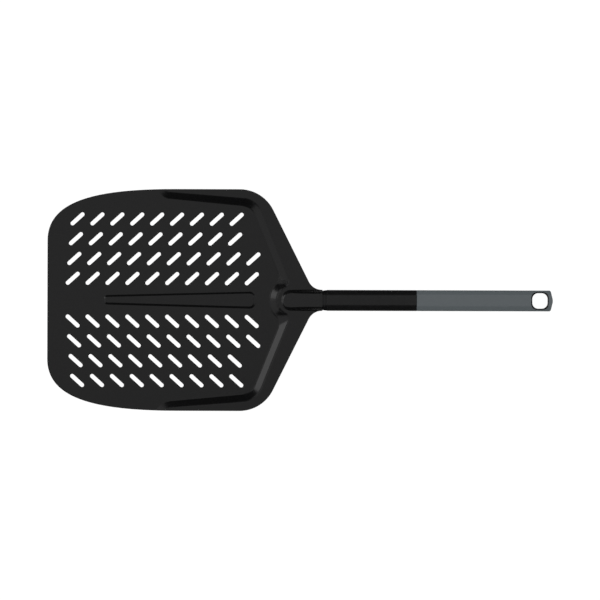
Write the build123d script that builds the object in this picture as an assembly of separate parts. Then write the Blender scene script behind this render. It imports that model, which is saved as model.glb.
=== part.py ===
from build123d import *

import math
import os

# Pizza peel, in millimetres, with its top side up (+Z) and its handle along +X.
# Every piece is drawn with X = 0 at the blade's front edge and Z = 0 at the plane the peel lies on.
# At the end the pieces are moved along X, so that the origin is the middle of the peel's underside.

# Whole peel
PEEL_LENGTH = 695.0
HEAD_WIDTH = 305.0
SHEET = 1.5

# Blade outline: a straight front edge, two curved front corners, parallel sides, a tapered rear
FRONT_HALF = 81.5
CORNER_START_PULL = 53.7
CORNER_END_PULL = 112.9
CORNER_END_X = 176.0
REAR_LINE_X = 313.8
REAR_LINE_HALF = 117.25
REAR_LINE_SLOPE = 2.0
REAR_CORNER_RADIUS = 51.5
NECK_HALF = 14.45
NECK_RADIUS = 20.0
BLADE_END_X = 378.3

# Slots, in rows on each side of the rib, slanting away from it
SLOT_LENGTH = 24.0
SLOT_WIDTH = 5.6
SLOT_ANGLE = 42.25
SLOT_PITCH = 27.37
SLOT_FIRST_X = 34.8
SLOT_ROW_HALF = 29.4
SLOT_ROW_PITCH = 27.25
SLOT_ROW_SHIFT = 2.13
SLOT_COUNTS = (10, 10, 9, 9)

# Rib: a low, raised, tapered pad. Half-widths are to the middle of its sloping edge.
RIB_FRONT_X = 79.0
RIB_REAR_X = 285.0
RIB_FRONT_HALF = 5.2
RIB_REAR_HALF = 10.6
RIB_FRONT_RADIUS = 3.5
RIB_REAR_RADIUS = 7.0
RIB_RISE = 1.2
RIB_RUN = 2.2
RIB_BEND_RADIUS = 1.0

# Raised rear flange. Its step is a sloping band, drawn by the band's middle line.
# The flange's top climbs a little towards the handle: FLANGE_RISE is its height at FLANGE_REAR_X.
# The band is a little narrower along the sides than behind the slots.
# Its front corner lies a little further forward on the -Y side, and is rounder there.
# The hollow corners beside the bulge are rounder at the foot than at the crest, and so gentler.
FLANGE_RISE = 6.0
FLANGE_SLOPE = 0.02
FLANGE_RUN = 10.0
FLANGE_SIDE_RUN = 9.2
FLANGE_BEND_RADIUS = 5.0
FLANGE_NOSE_XS = (156.0, 151.2)
FLANGE_NOSE_RADII = (12.8, 20.5)
FLANGE_SIDE_X = 169.3
FLANGE_SIDE_HALF = 143.7
FLANGE_SIDE_SLOPE = 0.09
FLANGE_CORNER_RADIUS = 26.0
FLANGE_REAR_X = 338.0
FLANGE_REAR_SLOPE = 0.4
FLANGE_BULGE_X = 336.4
FLANGE_BULGE_RADIUS = 26.0
FLANGE_REVERSE_RADIUS = 12.0

# Tongue: the channel that rises from the flange over the neck, and the tang behind it.
# Its top climbs in a straight ramp from its front to the blade's end.
TONGUE_FRONT_X = 322.0
TONGUE_HALF = 13.6
TONGUE_RADIUS = 13.0
TONGUE_TOP_X = 324.8
TONGUE_TOP_HALF = 11.1
TONGUE_TOP_RADIUS = 10.5
TONGUE_RISE = 2.2
TONGUE_TOP_Z = 18.5
TONGUE_BEND_RADIUS = 1.5
TANG_HALF = 8.0
TANG_STEP_RUN = 1.5
TANG_END_X = 444.0
TANG_CORNER_RADIUS = 4.0
RIVET_XS = (404.0, 432.0)
RIVET_RADIUS = 2.4
RIVET_HEAD_RADIUS = 4.2
RIVET_HEAD_HEIGHT = 0.7
RIVET_TAIL_RADIUS = 3.4
RIVET_TAIL_HEIGHT = 1.6

# Handle
HANDLE_HEIGHT = 20.0
SLEEVE_FRONT_X = 384.5
SEAM_X = 508.0
SLEEVE_WIDTH = 28.7
SLEEVE_RADIUS = 8.6
SLEEVE_WALL = 2.0
SLEEVE_EDGE = 0.4
GRIP_WIDTH = 28.6
GRIP_DROP = 0.1
GRIP_RADIUS = 7.5
GRIP_EDGE = 0.5
GRIP_END_SLOPE = 0.25
GRIP_END_TIP_RADIUS = 13.4
GRIP_END_RADIUS = 2.6
GRIP_END_ROUND = 3.0
TUBE_WIDTH = 22.0
TUBE_HEIGHT = 12.0
TUBE_WALL = 1.5
TUBE_FRONT_X = 380.0
TUBE_REAR_X = 652.0
FIT_GAP = 0.15

# Hanging hole
HOLE_X = 677.4
HOLE_SIZE = 21.2
HOLE_RADIUS = 8.0
EYELET_WALL = 1.4
EYELET_RADIUS = 7.7
EYELET_RIM = 0.1
EYELET_FLARE = 1.5

# Pieces inside the handle
INSERT_FRONT_X = 333.0
INSERT_SPIGOT_LENGTH = 14.0
NECK_COLLAR_PROFILE = ((BLADE_END_X, 0.85), (380.3, 0.8), (381.5, 0.5), (SLEEVE_FRONT_X, 0.3))
NECK_COLLAR_SPIGOT = 12.0
SEAM_COLLAR_LENGTH = 24.0
COLLAR_BORE_GAP = 0.1
PLUG_LENGTH = 16.0
PLUG_FLANGE = 2.5
SCREW_XS = (540.0, 632.0)
SCREW_RADIUS = 2.0
SCREW_HEAD_RADIUS = 3.9
SCREW_HEAD_HEIGHT = 2.2
SCREW_LENGTH = 12.0
HEX_SIZE = 2.5
HEX_DEPTH = 1.4
NUT_RADIUS = 3.0
NUT_FLANGE_RADIUS = 4.6
NUT_FLANGE_HEIGHT = 0.8
NUT_LENGTH = 9.0
THREAD_GAP = 0.05

TONGUE_FRONT_Z = SHEET + FLANGE_RISE + TONGUE_RISE
TONGUE_SLOPE = (TONGUE_TOP_Z - TONGUE_FRONT_Z) / (BLADE_END_X - TONGUE_TOP_X)
TUBE_MIDDLE_Z = TONGUE_TOP_Z - 2 * SHEET - TUBE_HEIGHT / 2
TUBE_FLOOR_Z = TUBE_MIDDLE_Z - TUBE_HEIGHT / 2
DEEP = 60.0
BLOCK_FRONT_X = -50.0
BLOCK_REAR_X = BLADE_END_X + 20.0
PLAN_REAR_X = BLOCK_REAR_X + 20.0
BLOCK_HALF = HEAD_WIDTH
NEAR = 0.01


def bend_shift(rise, run):
    """How far a bend moves along the plan from the sheet's upper face to its lower face."""
    return SHEET * math.tan(math.atan2(rise, run) / 2)


def mirrored(face):
    """A plan shape joined with its own mirror image across the X axis."""
    return face + mirror(face, about=Plane.XZ)


def corner_at(face, x, y):
    """The corner of a plan shape that is nearest to a point."""
    return face.vertices().sort_by_distance((x, y, 0))[0]


def level(plan, z):
    """A plan shape at one height."""
    return Pos(0, 0, z) * plan


def tilted(plan, x, z, slope):
    """A plan shape in a plane that climbs along X, and is at height z at x."""
    return Pos(x, 0, z) * Rot(0, -math.degrees(math.atan(slope)), 0) * Pos(-x, 0) * plan


def between(low, high):
    """The solid between two plan shapes in their places, with straight sloping sides."""
    return loft([low.faces()[0], high.faces()[0]], ruled=True)


def cut_off(form, x):
    """A form without what lies behind x."""
    return form - box_between((x, -2 * BLOCK_HALF, -DEEP), (2 * PEEL_LENGTH, 2 * BLOCK_HALF, DEEP))


def side_line_half(x, outward):
    """Half-width of the flange band's side line, moved towards the middle in step with `outward`."""
    inward = outward * FLANGE_SIDE_RUN / FLANGE_RUN * math.hypot(1, FLANGE_SIDE_SLOPE)
    return FLANGE_SIDE_HALF - FLANGE_SIDE_SLOPE * (x - FLANGE_SIDE_X) - inward


def flange_half(outward, rear_x, nose_x, nose_radius):
    """One side of the flange's plan, without the bulge."""
    base_half = side_line_half(0, outward)
    corner_x = (rear_x - FLANGE_REAR_SLOPE * base_half) / (1 - FLANGE_REAR_SLOPE * FLANGE_SIDE_SLOPE)
    corner_half = side_line_half(corner_x, outward)
    nose_half = side_line_half(nose_x, outward)
    half_plan = make_face(
        Polyline(
            (nose_x, BLOCK_HALF),
            (nose_x, nose_half),
            (corner_x, corner_half),
            (rear_x, 0),
            (PLAN_REAR_X, 0),
            (PLAN_REAR_X, BLOCK_HALF),
            close=True,
        )
    )
    half_plan = fillet(corner_at(half_plan, nose_x, nose_half), nose_radius)
    return fillet(corner_at(half_plan, corner_x, corner_half), FLANGE_CORNER_RADIUS - outward)


def flange_plan(outward):
    """Plan of the raised flange, with its whole front boundary moved forward by `outward`."""
    tilt = math.hypot(1, FLANGE_REAR_SLOPE)
    rear_x = FLANGE_REAR_X - outward * tilt
    halves = [
        flange_half(outward, rear_x, nose_x - outward, nose_radius + outward)
        for nose_x, nose_radius in zip(FLANGE_NOSE_XS, FLANGE_NOSE_RADII)
    ]
    bulge_radius = FLANGE_BULGE_RADIUS + outward
    plan = halves[0] + mirror(halves[1], about=Plane.XZ) + Pos(FLANGE_BULGE_X, 0) * Circle(bulge_radius)
    meet_x, meet_half = line_meets_circle(rear_x, FLANGE_REAR_SLOPE, FLANGE_BULGE_X, bulge_radius)
    for side in (1, -1):
        corner = corner_at(plan, meet_x, side * meet_half)
        plan = fillet(corner, FLANGE_REVERSE_RADIUS + outward)
    return plan


def line_meets_circle(line_x, slope, centre_x, radius):
    """Where the line x = line_x - slope * y meets a circle centred on the X axis, at y > 0."""
    gap = line_x - centre_x
    a = 1 + slope**2
    b = -2 * slope * gap
    c = gap**2 - radius**2
    y = (-b + math.sqrt(b**2 - 4 * a * c)) / (2 * a)
    return line_x - slope * y, y


def rib_plan(outward):
    """Plan of the tapered rib, grown all round by `outward`."""
    front_x = RIB_FRONT_X - outward
    rear_x = RIB_REAR_X + outward
    front_half = RIB_FRONT_HALF + outward
    rear_half = RIB_REAR_HALF + outward
    corners = ((front_x, front_half), (rear_x, rear_half), (rear_x, -rear_half), (front_x, -front_half))
    plan = make_face(Polyline(*corners, close=True))
    for side in (1, -1):
        plan = fillet(corner_at(plan, front_x, side * front_half), RIB_FRONT_RADIUS + outward)
        plan = fillet(corner_at(plan, rear_x, side * rear_half), RIB_REAR_RADIUS + outward)
    return plan


def pill_plan(front_x, rear_x, half, radius):
    """A strip along X with a round front and a square rear end."""
    middle_x = (front_x + rear_x) / 2
    plan = Pos(middle_x, 0) * Rectangle(rear_x - front_x, 2 * half)
    for side in (1, -1):
        plan = fillet(corner_at(plan, front_x, side * half), radius)
    return plan


def flange_rise(x):
    """Height of the flange's top over the flat part of the blade."""
    return FLANGE_RISE + FLANGE_SLOPE * (x - FLANGE_REAR_X)


def tongue_top_z(x):
    """Height of the tongue's upper face."""
    return TONGUE_FRONT_Z + TONGUE_SLOPE * (x - TONGUE_TOP_X)


def tongue_shift():
    """How far the tongue's slopes move in from the sheet's upper face to its lower face."""
    return bend_shift(TONGUE_TOP_Z - SHEET - FLANGE_RISE, 2 * (TONGUE_HALF - TONGUE_TOP_HALF))


def tongue_solid(inward, low_z, drop, rear_x):
    """The tongue's raised form, drawn in by `inward` all round but not at its open rear end.

    It stands on a flange top of height low_z, and its own top lies `drop` under the tongue's.
    """
    low = pill_plan(TONGUE_FRONT_X + inward, PLAN_REAR_X, TONGUE_HALF - inward, TONGUE_RADIUS - inward)
    high = pill_plan(TONGUE_TOP_X + inward, PLAN_REAR_X, TONGUE_TOP_HALF - inward, TONGUE_TOP_RADIUS - inward)
    low = tilted(low, FLANGE_REAR_X, low_z, FLANGE_SLOPE)
    high = tilted(high, TONGUE_TOP_X, TONGUE_FRONT_Z - drop, TONGUE_SLOPE)
    return cut_off(between(low, high), rear_x)


def inner_edges(block, ends, half, heights):
    """A block's edges between two places along X, within a half-width and between two heights.

    The edges of the block's own front, rear and sides are left out.
    """

    def is_inner(edge):
        middle = edge.center()
        box = edge.bounding_box()
        is_off_ends = BLOCK_FRONT_X + NEAR < middle.X < BLOCK_REAR_X - NEAR
        is_off_sides = abs(middle.Y) < BLOCK_HALF - NEAR
        is_along = ends[0] - NEAR < box.min.X and box.max.X < ends[1] + NEAR
        is_across = -half - NEAR < box.min.Y and box.max.Y < half + NEAR
        is_high = heights[0] - NEAR < box.min.Z and box.max.Z < heights[1] + NEAR
        return is_off_ends and is_off_sides and is_along and is_across and is_high

    return block.edges().filter_by(is_inner)


def pressed_block(ground_z, foot, crest, is_under):
    """The block under one face of the sheet: flat ground, flange, rib and tongue, with round bends.

    foot and crest are added to the bend radii at the foot and at the crest of each slope. Under the
    sheet's lower face, each bend is shifted along the plan, so that the sheet keeps its thickness
    on the slopes too.
    """
    flange_in = is_under * bend_shift(FLANGE_RISE, FLANGE_RUN)
    rib_in = is_under * bend_shift(RIB_RISE, RIB_RUN)
    flange_z = ground_z + FLANGE_RISE
    rib_z = ground_z + RIB_RISE

    block = Pos(0, 0, ground_z - DEEP) * extrude(block_plan(), DEEP)
    low = level(flange_plan(FLANGE_RUN / 2 - flange_in), ground_z)
    high = tilted(flange_plan(-FLANGE_RUN / 2 - flange_in), FLANGE_REAR_X, flange_z, FLANGE_SLOPE)
    block += cut_off(between(low, high), BLOCK_REAR_X)
    ends = (BLOCK_FRONT_X, BLOCK_REAR_X)
    top_low_z = ground_z + flange_rise(min(FLANGE_NOSE_XS))
    block = fillet(inner_edges(block, ends, BLOCK_HALF, (ground_z, ground_z)), FLANGE_BEND_RADIUS + foot)
    block = fillet(inner_edges(block, ends, BLOCK_HALF, (top_low_z, DEEP)), FLANGE_BEND_RADIUS + crest)

    low = level(rib_plan(RIB_RUN / 2 - rib_in), ground_z)
    high = level(rib_plan(-RIB_RUN / 2 - rib_in), rib_z)
    block += between(low, high)
    ends = (RIB_FRONT_X - RIB_RUN, RIB_REAR_X + RIB_RUN)
    for z, growth in ((ground_z, foot), (rib_z, crest)):
        block = fillet(
            inner_edges(block, ends, RIB_REAR_HALF + RIB_RUN, (z, z)), RIB_BEND_RADIUS + growth
        )

    block += tongue_solid(is_under * tongue_shift(), flange_z, SHEET - ground_z, BLOCK_REAR_X)
    ends = (TONGUE_FRONT_X, BLOCK_REAR_X)
    foot_zs = (ground_z + flange_rise(TONGUE_FRONT_X), ground_z + flange_rise(BLOCK_REAR_X))
    crest_zs = (flange_z + TONGUE_RISE / 2, DEEP)
    for zs, growth in ((crest_zs, crest), (foot_zs, foot)):
        block = fillet(inner_edges(block, ends, TONGUE_HALF, zs), TONGUE_BEND_RADIUS + growth)
    return block


def block_plan():
    """The rectangle that the pressed blocks stand on."""
    length = BLOCK_REAR_X - BLOCK_FRONT_X
    return Pos(BLOCK_FRONT_X + length / 2, 0) * Rectangle(length, 2 * BLOCK_HALF)


def blade_plan():
    """The blade's outline, with no slots."""
    rear_x = REAR_LINE_X + REAR_LINE_HALF / REAR_LINE_SLOPE
    side_x = rear_x - HEAD_WIDTH / 2 / REAR_LINE_SLOPE
    neck_x = rear_x - NECK_HALF / REAR_LINE_SLOPE
    corner = Bezier(
        (0, FRONT_HALF),
        (0, FRONT_HALF + CORNER_START_PULL),
        (CORNER_END_X - CORNER_END_PULL, HEAD_WIDTH / 2),
        (CORNER_END_X, HEAD_WIDTH / 2),
    )
    rest = Polyline(
        (CORNER_END_X, HEAD_WIDTH / 2),
        (side_x, HEAD_WIDTH / 2),
        (neck_x, NECK_HALF),
        (BLADE_END_X, NECK_HALF),
        (BLADE_END_X, 0),
        (0, 0),
        (0, FRONT_HALF),
    )
    half_plan = make_face([corner, rest])
    half_plan = fillet(corner_at(half_plan, side_x, HEAD_WIDTH / 2), REAR_CORNER_RADIUS)
    half_plan = fillet(corner_at(half_plan, neck_x, NECK_HALF), NECK_RADIUS)
    return mirrored(half_plan)


def slots():
    """All the slots, as one plan shape. Each row starts a little further back than the one inside it."""
    plans = Sketch()
    for row, count in enumerate(SLOT_COUNTS):
        half = SLOT_ROW_HALF + row * SLOT_ROW_PITCH
        for number in range(count):
            x = SLOT_FIRST_X + row * SLOT_ROW_SHIFT + number * SLOT_PITCH
            for side in (1, -1):
                slot = SlotOverall(SLOT_LENGTH, SLOT_WIDTH, rotation=side * SLOT_ANGLE)
                plans += Pos(x, side * half) * slot
    return plans


def tang():
    """The strip that steps down from the tongue's top and lies on the handle's tube."""
    top = TONGUE_TOP_Z
    step_x = BLADE_END_X - TANG_STEP_RUN
    start_x = step_x - SHEET
    side_view = Polyline(
        (start_x, tongue_top_z(start_x)),
        (step_x, tongue_top_z(step_x)),
        (BLADE_END_X, top - SHEET),
        (TANG_END_X, top - SHEET),
        (TANG_END_X, top - 2 * SHEET),
        (BLADE_END_X - SHEET / 2, top - 2 * SHEET),
        (step_x - SHEET / 2, tongue_top_z(step_x - SHEET / 2) - SHEET),
        (start_x, tongue_top_z(start_x) - SHEET),
        close=True,
    )
    strip = extrude(make_face(Plane.XZ * side_view), TANG_HALF, both=True)
    ends = strip.edges().filter_by(Axis.Z).group_by(Axis.X)[-1]
    return fillet(ends, TANG_CORNER_RADIUS)


def rivet_holes(radius):
    """Cylinders where the tang's rivets go, through the tang and the tube's upper wall."""
    holes = Part()
    for x in RIVET_XS:
        holes += Pos(x, 0, TONGUE_TOP_Z - 2 * SHEET) * Cylinder(radius, 4 * SHEET)
    return holes


def blade():
    """The pressed sheet: what lies between its two faces, cut to the outline and slotted."""
    upper = pressed_block(SHEET, 0, SHEET, False)
    lower = pressed_block(0, SHEET, 0, True)
    sheet = (upper - lower) & extrude(blade_plan(), DEEP)
    sheet -= extrude(slots(), DEEP, both=True)
    sheet += tang()
    return sheet - rivet_holes(RIVET_RADIUS)


def section_at(x, width, height, radius, low_z):
    """A rounded rectangle across the handle, standing on low_z."""
    return Plane.YZ.offset(x) * Pos(0, low_z + height / 2) * RectangleRounded(width, height, radius)


def bar(front_x, rear_x, width, height, radius, low_z):
    """A straight rounded bar along the handle."""
    return extrude(section_at(front_x, width, height, radius, low_z), rear_x - front_x)


def tube_bar(front_x, rear_x, grow):
    """The tube's outer form between two places, grown all round by `grow`."""
    height = TUBE_HEIGHT + 2 * grow
    radius = height / 2 - FIT_GAP
    return bar(front_x, rear_x, TUBE_WIDTH + 2 * grow, height, radius, TUBE_FLOOR_Z - grow)


def core_tube():
    """Flat-oval tube, drilled for the rivets and the rivet nuts."""
    tube = tube_bar(TUBE_FRONT_X, TUBE_REAR_X, 0) - tube_bar(TUBE_FRONT_X, TUBE_REAR_X, -TUBE_WALL)
    tube -= rivet_holes(RIVET_RADIUS)
    for x in SCREW_XS:
        tube -= Pos(x, 0, TUBE_FLOOR_Z) * Cylinder(NUT_RADIUS, 4 * TUBE_WALL)
    return tube


def tang_rivets():
    """Two rivets, each with a low head on the tang and a tail inside the tube."""
    joint_top = TONGUE_TOP_Z - SHEET
    tube_wall_low = TUBE_FLOOR_Z + TUBE_HEIGHT - TUBE_WALL
    rivets = []
    for x in RIVET_XS:
        shank = Pos(x, 0, (joint_top + tube_wall_low) / 2)
        shank *= Cylinder(RIVET_RADIUS, joint_top - tube_wall_low)
        head = Pos(x, 0, joint_top + RIVET_HEAD_HEIGHT / 2)
        head *= Cylinder(RIVET_HEAD_RADIUS, RIVET_HEAD_HEIGHT)
        tail = Pos(x, 0, tube_wall_low - RIVET_TAIL_HEIGHT / 2)
        tail *= Cylinder(RIVET_TAIL_RADIUS, RIVET_TAIL_HEIGHT)
        rivets.append(shank + head + tail)
    return Compound(rivets)


def neck_insert():
    """Filler under the tongue, with a short spigot that goes into the tube."""
    filler = tongue_solid(tongue_shift() + FIT_GAP, FLANGE_RISE, 2 * SHEET + FIT_GAP, BLADE_END_X)
    ahead = box_between((0, -DEEP, 0), (INSERT_FRONT_X, DEEP, DEEP))
    spigot = tube_bar(BLADE_END_X, BLADE_END_X + INSERT_SPIGOT_LENGTH, -TUBE_WALL - FIT_GAP)
    return filler - ahead + spigot


def sleeve_cavity(front_x, rear_x, shrink):
    """The sleeve's inner form, drawn in all round by `shrink`."""
    margin = SLEEVE_WALL + shrink
    return bar(
        front_x,
        rear_x,
        SLEEVE_WIDTH - 2 * margin,
        HANDLE_HEIGHT - 2 * margin,
        SLEEVE_RADIUS - margin,
        margin,
    )


def front_sleeve():
    """Hollow front part of the handle."""
    form = bar(SLEEVE_FRONT_X, SEAM_X, SLEEVE_WIDTH, HANDLE_HEIGHT, SLEEVE_RADIUS, 0)
    ends = form.faces().sort_by(Axis.X)
    form = chamfer(ends[0].edges() + ends[-1].edges(), SLEEVE_EDGE)
    return form - sleeve_cavity(SLEEVE_FRONT_X, SEAM_X, 0)


def collar_section(x, drop):
    """The neck collar's outer section, smaller than the sleeve's by `drop` all round."""
    return section_at(
        x, SLEEVE_WIDTH - 2 * drop, HANDLE_HEIGHT - 2 * drop, SLEEVE_RADIUS - drop, drop
    )


def neck_collar():
    """Ring in front of the sleeve, with a spigot that centres the sleeve on the tube.

    The tang passes through a slot over the tube's bore. The slot is open above in the spigot.
    """
    front_x = NECK_COLLAR_PROFILE[0][0]
    rear_x = SLEEVE_FRONT_X + NECK_COLLAR_SPIGOT
    sections = [collar_section(x, drop) for x, drop in NECK_COLLAR_PROFILE]
    collar = loft([section.faces()[0] for section in sections], ruled=True)
    collar += sleeve_cavity(SLEEVE_FRONT_X, rear_x, FIT_GAP)
    collar -= tube_bar(front_x, rear_x, COLLAR_BORE_GAP)
    slot_half = TANG_HALF + FIT_GAP
    slot_low = TONGUE_TOP_Z - 3 * SHEET
    slot_high = TONGUE_TOP_Z - SHEET + FIT_GAP
    collar -= box_between((front_x, -slot_half, slot_low), (rear_x, slot_half, slot_high))
    return collar - box_between((SLEEVE_FRONT_X, -slot_half, slot_low), (rear_x, slot_half, DEEP))


def box_between(low, high):
    """A box with its edges along the axes, given by two opposite corners."""
    size = [b - a for a, b in zip(low, high)]
    return Pos(*low) * Box(*size, align=(Align.MIN, Align.MIN, Align.MIN))


def seam_collar():
    """Ring across the seam, half in the sleeve and half in the grip."""
    half = SEAM_COLLAR_LENGTH / 2
    ring = sleeve_cavity(SEAM_X - half, SEAM_X + half, 2 * FIT_GAP + GRIP_DROP)
    return ring - tube_bar(SEAM_X - half, SEAM_X + half, COLLAR_BORE_GAP)


def hole_plan(wall, radius):
    """The hanging hole's rounded square, grown all round by `wall`."""
    size = HOLE_SIZE + 2 * wall
    return Pos(HOLE_X, 0) * RectangleRounded(size, size, radius)


def grip_form():
    """Outer form of the grip. Its rear end is blunt and pointed in plan, and rounded from the side."""
    height = HANDLE_HEIGHT - 2 * GRIP_DROP
    form = bar(SEAM_X, PEEL_LENGTH, GRIP_WIDTH, height, GRIP_RADIUS, GRIP_DROP)
    half = GRIP_WIDTH / 2
    tip_x = PEEL_LENGTH + GRIP_END_TIP_RADIUS * (math.hypot(1, GRIP_END_SLOPE) - 1)
    corner_x = tip_x - GRIP_END_SLOPE * half
    plan = make_face(
        Polyline(
            (SEAM_X, half), (SEAM_X, -half), (corner_x, -half), (tip_x, 0), (corner_x, half), close=True
        )
    )
    plan = fillet(corner_at(plan, tip_x, 0), GRIP_END_TIP_RADIUS)
    for side in (1, -1):
        plan = fillet(corner_at(plan, corner_x, side * half), GRIP_END_RADIUS)
    middle_x = (SEAM_X + PEEL_LENGTH) / 2
    side_view = Pos(middle_x, HANDLE_HEIGHT / 2) * Rectangle(PEEL_LENGTH - SEAM_X, height)
    for z in (GRIP_DROP, HANDLE_HEIGHT - GRIP_DROP):
        side_view = fillet(corner_at(side_view, PEEL_LENGTH, z), GRIP_END_ROUND)
    form &= extrude(plan, DEEP)
    form &= extrude(Plane.XZ * side_view, DEEP, both=True)
    return chamfer(form.faces().sort_by(Axis.X)[0].edges(), GRIP_EDGE)


def rear_grip():
    """Rear part of the handle: a socket for the tube and the collar, and the hanging hole."""
    half = SEAM_COLLAR_LENGTH / 2 + FIT_GAP
    grip = grip_form()
    grip -= tube_bar(SEAM_X, TUBE_REAR_X + PLUG_FLANGE + FIT_GAP, FIT_GAP)
    grip -= sleeve_cavity(SEAM_X, SEAM_X + half, FIT_GAP + GRIP_DROP)
    grip -= extrude(hole_plan(EYELET_WALL, EYELET_RADIUS), DEEP)
    for x in SCREW_XS:
        grip -= Pos(x, 0, TUBE_FLOOR_Z) * Cylinder(NUT_FLANGE_RADIUS + FIT_GAP, 2 * NUT_FLANGE_HEIGHT)
        grip -= Pos(x, 0, TUBE_FLOOR_Z / 2) * Cylinder(SCREW_RADIUS + FIT_GAP, TUBE_FLOOR_Z)
        grip -= screw_head(x, FIT_GAP)
    return grip


def screw_head(x, grow):
    """Countersunk head, flush with the grip's underside."""
    height = SCREW_HEAD_HEIGHT
    cone = Cone(SCREW_HEAD_RADIUS + grow, SCREW_RADIUS + grow, height)
    return Pos(x, 0, GRIP_DROP + height / 2) * cone


def grip_screws():
    """Two countersunk screws with hexagon sockets, up into the rivet nuts."""
    screws = []
    for x in SCREW_XS:
        shank = Pos(x, 0, GRIP_DROP + SCREW_LENGTH / 2)
        shank *= Cylinder(SCREW_RADIUS - THREAD_GAP, SCREW_LENGTH)
        socket = extrude(RegularPolygon(HEX_SIZE / 2, 6, major_radius=False), HEX_DEPTH)
        screws.append(shank + screw_head(x, 0) - Pos(x, 0, GRIP_DROP) * socket)
    return Compound(screws)


def grip_rivet_nuts():
    """Threaded inserts in the tube's lower wall."""
    nuts = []
    for x in SCREW_XS:
        body = Pos(x, 0, TUBE_FLOOR_Z + NUT_LENGTH / 2) * Cylinder(NUT_RADIUS, NUT_LENGTH)
        flange = Pos(x, 0, TUBE_FLOOR_Z - NUT_FLANGE_HEIGHT / 2)
        flange *= Cylinder(NUT_FLANGE_RADIUS, NUT_FLANGE_HEIGHT)
        thread = Pos(x, 0, TUBE_FLOOR_Z) * Cylinder(SCREW_RADIUS, 2 * DEEP)
        nuts.append(body + flange - thread)
    return Compound(nuts)


def tube_end_plug():
    """Plug in the tube's rear end, with a thin flange outside it."""
    body = tube_bar(TUBE_REAR_X - PLUG_LENGTH, TUBE_REAR_X, -TUBE_WALL - FIT_GAP)
    return body + tube_bar(TUBE_REAR_X, TUBE_REAR_X + PLUG_FLANGE, 0)


def hang_eyelet():
    """Liner of the hanging hole, cut flush with the grip. Its mouth is flared above and below."""
    inside = hole_plan(0, HOLE_RADIUS)
    mouth = hole_plan(EYELET_WALL - EYELET_RIM, EYELET_RADIUS)
    low_z = GRIP_DROP
    high_z = HANDLE_HEIGHT - GRIP_DROP
    liner = extrude(hole_plan(EYELET_WALL, EYELET_RADIUS) - inside, DEEP) & grip_form()
    liner -= between(level(mouth, low_z), level(inside, low_z + EYELET_FLARE))
    return liner - between(level(inside, high_z - EYELET_FLARE), level(mouth, high_z))


PIECES = {
    "blade": blade,
    "neck_insert": neck_insert,
    "core_tube": core_tube,
    "tang_rivets": tang_rivets,
    "neck_collar": neck_collar,
    "front_sleeve": front_sleeve,
    "seam_collar": seam_collar,
    "rear_grip": rear_grip,
    "grip_rivet_nuts": grip_rivet_nuts,
    "grip_screws": grip_screws,
    "tube_end_plug": tube_end_plug,
    "hang_eyelet": hang_eyelet,
}

os.makedirs("parts", exist_ok=True)
for name, make_piece in PIECES.items():
    piece = Pos(-PEEL_LENGTH / 2, 0, 0) * make_piece()
    export_step(piece, f"parts/{name}.step")
    print(name, round(piece.volume, 1), piece.is_valid)
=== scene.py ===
import math

import bpy
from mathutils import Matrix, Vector

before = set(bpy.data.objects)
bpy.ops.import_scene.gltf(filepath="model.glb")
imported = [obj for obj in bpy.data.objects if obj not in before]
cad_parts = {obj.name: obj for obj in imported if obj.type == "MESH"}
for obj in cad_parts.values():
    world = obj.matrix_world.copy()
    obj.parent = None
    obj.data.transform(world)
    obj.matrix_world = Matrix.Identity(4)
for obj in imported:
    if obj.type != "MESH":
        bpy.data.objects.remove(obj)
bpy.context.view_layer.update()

# Camera: straight above the peel, and so far away that it looks almost without perspective
FRAME_WIDTH = 0.8254
CAMERA_PLACE = (0.0, 0.00038, 20.0)
CAMERA_ROLL = 0.165
SENSOR_WIDTH = 36.0

# Light levels are radiances; azimuths go anticlockwise from +X, elevations up from the floor.
# Cards are named as seen from above, with the handle to the right. The last three are for other views.
SKY_SEEN = 1.0
SKY_SOFT = 0.62
SKY_GLOSS = 0.03
FLOOR_SIZE = 60.0
FLOOR_GLOW = 0.97
FLOOR_SHADE = 0.1
TOP_PLACE = (-0.05, 0.18, 2.2)
TOP_SIZE = (3.0, 1.0)
TOP_LEVEL = 0.435
CARD_AWAY = 2.2
CARDS = {
    "left_key": {"azimuth": 162, "elevation": 24, "size": (0.84, 1.5), "level": 1.58},
    "left_fill": {"azimuth": 199, "elevation": 34, "size": (1.55, 1.7), "level": 0.47},
    "left_low": {"azimuth": 188, "elevation": 11, "size": (1.1, 0.4), "level": 1.8},
    "high_left": {"azimuth": 150, "elevation": 58, "size": (0.7, 0.6), "level": 0.62},
    "right_fill": {"azimuth": 0, "elevation": 38, "size": (1.55, 1.9), "level": 0.42},
    "upper_right": {"azimuth": 46, "elevation": 20, "size": (1.3, 0.9), "level": 0.16},
    "lower_right": {"azimuth": 314, "elevation": 17, "size": (1.3, 0.9), "level": 0.16},
    "upper_left": {"azimuth": 121, "elevation": 19, "size": (0.8, 0.5), "level": 0.12},
}

# Colours, in linear light
COATING = (0.0028, 0.0028, 0.003)
SLEEVE_COATING = (0.005, 0.005, 0.0054)
GRIP_COLOUR = (0.100, 0.117, 0.126)
BLACK_PLASTIC = (0.004, 0.004, 0.0045)
ALUMINIUM = (0.62, 0.63, 0.64)
STEEL = (0.56, 0.57, 0.58)

# The coating's faint haze, which only shows at a flat angle
SHEEN = 0.12
SHEEN_ROUGHNESS = 0.3

# A noise texture's values lie mostly between these two
NOISE_LOW = 0.3
NOISE_HIGH = 0.7


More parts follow.
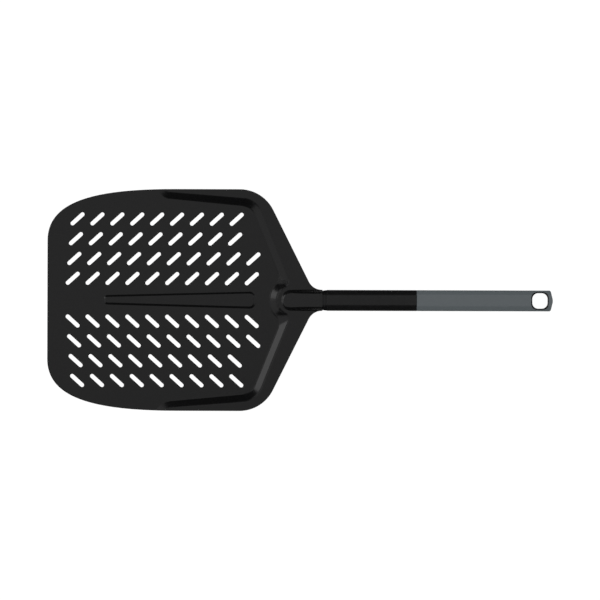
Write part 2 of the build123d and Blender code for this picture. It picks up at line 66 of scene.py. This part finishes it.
def area_light(name, place, size, level):
    """A softbox of the given radiance, facing the peel's middle."""
    light = bpy.data.lights.new(name, "AREA")
    light.shape = "RECTANGLE"
    light.size, light.size_y = size
    light.energy = level * math.pi * size[0] * size[1]
    lamp = bpy.data.objects.new(name, light)
    lamp.location = place
    lamp.rotation_euler = (-Vector(place)).to_track_quat("-Z", "Y").to_euler()
    lamp.visible_camera = False
    bpy.context.scene.collection.objects.link(lamp)


def lights():
    area_light("top_softbox", TOP_PLACE, TOP_SIZE, TOP_LEVEL)
    for name, card in CARDS.items():
        azimuth, elevation = math.radians(card["azimuth"]), math.radians(card["elevation"])
        across = CARD_AWAY * math.cos(elevation)
        place = (across * math.cos(azimuth), across * math.sin(azimuth), CARD_AWAY * math.sin(elevation))
        area_light(name, place, card["size"], card["level"])


def backdrop():
    """White where the camera sees it, soft light for matte surfaces, and dark for reflections."""
    world = bpy.data.worlds.new("studio")
    bpy.context.scene.world = world
    world.use_nodes = True
    nodes, links = world.node_tree.nodes, world.node_tree.links
    nodes["Background"].inputs["Color"].default_value = (1, 1, 1, 1)
    path = nodes.new("ShaderNodeLightPath")
    level = None
    for ray, amount in (("Is Diffuse Ray", SKY_SOFT), ("Is Camera Ray", SKY_SEEN)):
        step = nodes.new("ShaderNodeMix")
        step.inputs["A"].default_value = SKY_GLOSS
        step.inputs["B"].default_value = amount
        links.new(path.outputs[ray], step.inputs["Factor"])
        if level is not None:
            links.new(level, step.inputs["A"])
        level = step.outputs["Result"]
    links.new(level, nodes["Background"].inputs["Strength"])


def floor():
    bpy.ops.mesh.primitive_plane_add(size=FLOOR_SIZE, location=(0, 0, 0))
    plane = bpy.context.object
    plane.name = "floor"
    material = bpy.data.materials.new("floor")
    material.use_nodes = True
    shader = material.node_tree.nodes["Principled BSDF"]
    shader.inputs["Base Color"].default_value = (FLOOR_SHADE, FLOOR_SHADE, FLOOR_SHADE, 1)
    shader.inputs["Specular IOR Level"].default_value = 0.0
    shader.inputs["Emission Color"].default_value = (1, 1, 1, 1)
    shader.inputs["Emission Strength"].default_value = FLOOR_GLOW
    material.cycles.emission_sampling = "NONE"
    plane.data.materials.append(material)
    plane.visible_glossy = False


def camera():
    data = bpy.data.cameras.new("camera")
    data.sensor_width = SENSOR_WIDTH
    data.lens = SENSOR_WIDTH * CAMERA_PLACE[2] / FRAME_WIDTH
    data.clip_end = 2 * CAMERA_PLACE[2]
    eye = bpy.data.objects.new("camera", data)
    eye.location = CAMERA_PLACE
    eye.rotation_euler = (0, 0, math.radians(CAMERA_ROLL))
    bpy.context.scene.collection.objects.link(eye)
    bpy.context.scene.camera = eye


class Surface:
    """A procedural material: a Principled shader whose colour, roughness and relief vary with noise."""

    def __init__(self, name, colour, roughness, metallic=0.0, specular=0.5):
        self.material = bpy.data.materials.new(name)
        self.material.use_nodes = True
        tree = self.material.node_tree
        self.nodes, self.links = tree.nodes, tree.links
        self.shader = self.nodes["Principled BSDF"]
        self.shader.inputs["Metallic"].default_value = metallic
        self.shader.inputs["Specular IOR Level"].default_value = specular
        self.colour = colour
        self.roughness = roughness
        self.place = self.nodes.new("ShaderNodeTexCoord").outputs["Object"]

    def noise(self, scale, detail, stretch=(1, 1, 1)):
        """Noise from 0 to 1, `scale` blobs to the metre, stretched along some axes."""
        mapping = self.nodes.new("ShaderNodeMapping")
        mapping.inputs["Scale"].default_value = stretch
        texture = self.nodes.new("ShaderNodeTexNoise")
        texture.inputs["Scale"].default_value = scale
        texture.inputs["Detail"].default_value = detail
        self.links.new(self.place, mapping.inputs["Vector"])
        self.links.new(mapping.outputs["Vector"], texture.inputs["Vector"])
        return texture.outputs["Fac"]

    def spread_out(self, noise, low, high):
        """Stretches a noise, so that it runs from `low` to `high`."""
        node = self.nodes.new("ShaderNodeMapRange")
        node.inputs["From Min"].default_value = NOISE_LOW
        node.inputs["From Max"].default_value = NOISE_HIGH
        node.inputs["To Min"].default_value = low
        node.inputs["To Max"].default_value = high
        self.links.new(noise, node.inputs["Value"])
        return node.outputs["Result"]

    def vary_colour(self, noise, spread):
        """Makes the colour lighter and darker by the share `spread`, following a noise."""
        mix = self.nodes.new("ShaderNodeMix")
        mix.data_type = "RGBA"
        mix.inputs["A"].default_value = (*(part * (1 - spread) for part in self.colour), 1)
        mix.inputs["B"].default_value = (*(part * (1 + spread) for part in self.colour), 1)
        self.links.new(self.spread_out(noise, 0, 1), mix.inputs["Factor"])
        self.links.new(mix.outputs["Result"], self.shader.inputs["Base Color"])

    def vary_roughness(self, noise, spread):
        rough = self.spread_out(noise, self.roughness - spread, self.roughness + spread)
        self.links.new(rough, self.shader.inputs["Roughness"])

    def relief(self, noise, distance):
        """Adds bumps, `distance` metres high."""
        bump = self.nodes.new("ShaderNodeBump")
        bump.inputs["Distance"].default_value = distance
        bump.inputs["Strength"].default_value = 1.0
        self.links.new(noise, bump.inputs["Height"])
        self.links.new(bump.outputs["Normal"], self.shader.inputs["Normal"])


def coating(name, colour, roughness):
    """Hard black coating on metal: satin, with a fine grain and faint clouding."""
    surface = Surface(name, colour, roughness)
    surface.shader.inputs["Sheen Weight"].default_value = SHEEN
    surface.shader.inputs["Sheen Roughness"].default_value = SHEEN_ROUGHNESS
    surface.vary_colour(surface.noise(scale=240, detail=4), spread=0.2)
    surface.vary_roughness(surface.noise(scale=60, detail=5), spread=0.008)
    surface.relief(surface.noise(scale=2600, detail=1), distance=1e-6)
    return surface.material


def grip_plastic():
    """Grey-blue moulded plastic with a fine spark-eroded grain."""
    surface = Surface("grip_plastic", GRIP_COLOUR, roughness=0.34, specular=0.8)
    surface.vary_colour(surface.noise(scale=900, detail=3), spread=0.05)
    surface.vary_roughness(surface.noise(scale=120, detail=4), spread=0.04)
    surface.relief(surface.noise(scale=1800, detail=3), distance=3e-5)
    return surface.material


def dark_plastic():
    """Black moulded plastic, a little smoother than the grip."""
    surface = Surface("dark_plastic", BLACK_PLASTIC, roughness=0.34, specular=0.42)
    surface.vary_colour(surface.noise(scale=700, detail=3), spread=0.2)
    surface.vary_roughness(surface.noise(scale=200, detail=3), spread=0.04)
    surface.relief(surface.noise(scale=1500, detail=2), distance=6e-6)
    return surface.material


def bare_aluminium():
    """Drawn aluminium, with fine lines along its length."""
    surface = Surface("bare_aluminium", ALUMINIUM, roughness=0.34, metallic=1.0)
    lines = surface.noise(scale=900, detail=3, stretch=(0.03, 1, 1))
    surface.vary_colour(surface.noise(scale=80, detail=3), spread=0.06)
    surface.vary_roughness(lines, spread=0.1)
    surface.relief(lines, distance=1e-5)
    return surface.material


def bright_steel():
    """Zinc-plated steel, slightly cloudy."""
    surface = Surface("bright_steel", STEEL, roughness=0.24, metallic=1.0)
    surface.vary_colour(surface.noise(scale=500, detail=3), spread=0.08)
    surface.vary_roughness(surface.noise(scale=900, detail=2), spread=0.06)
    return surface.material


MATERIALS = {
    "blade": coating("blade_coating", COATING, roughness=0.21),
    "front_sleeve": coating("sleeve_coating", SLEEVE_COATING, roughness=0.3),
    "rear_grip": grip_plastic(),
    "neck_insert": dark_plastic(),
    "core_tube": bare_aluminium(),
    "grip_screws": bright_steel(),
}
MATERIALS["neck_collar"] = MATERIALS["seam_collar"] = MATERIALS["neck_insert"]
MATERIALS["tube_end_plug"] = MATERIALS["hang_eyelet"] = MATERIALS["neck_insert"]
MATERIALS["tang_rivets"] = MATERIALS["core_tube"]
MATERIALS["grip_rivet_nuts"] = MATERIALS["grip_screws"]

for name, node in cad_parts.items():
    node.data.materials.clear()
    node.data.materials.append(MATERIALS[name])

bpy.context.scene.view_settings.view_transform = "Standard"
lights()
backdrop()
floor()
camera()
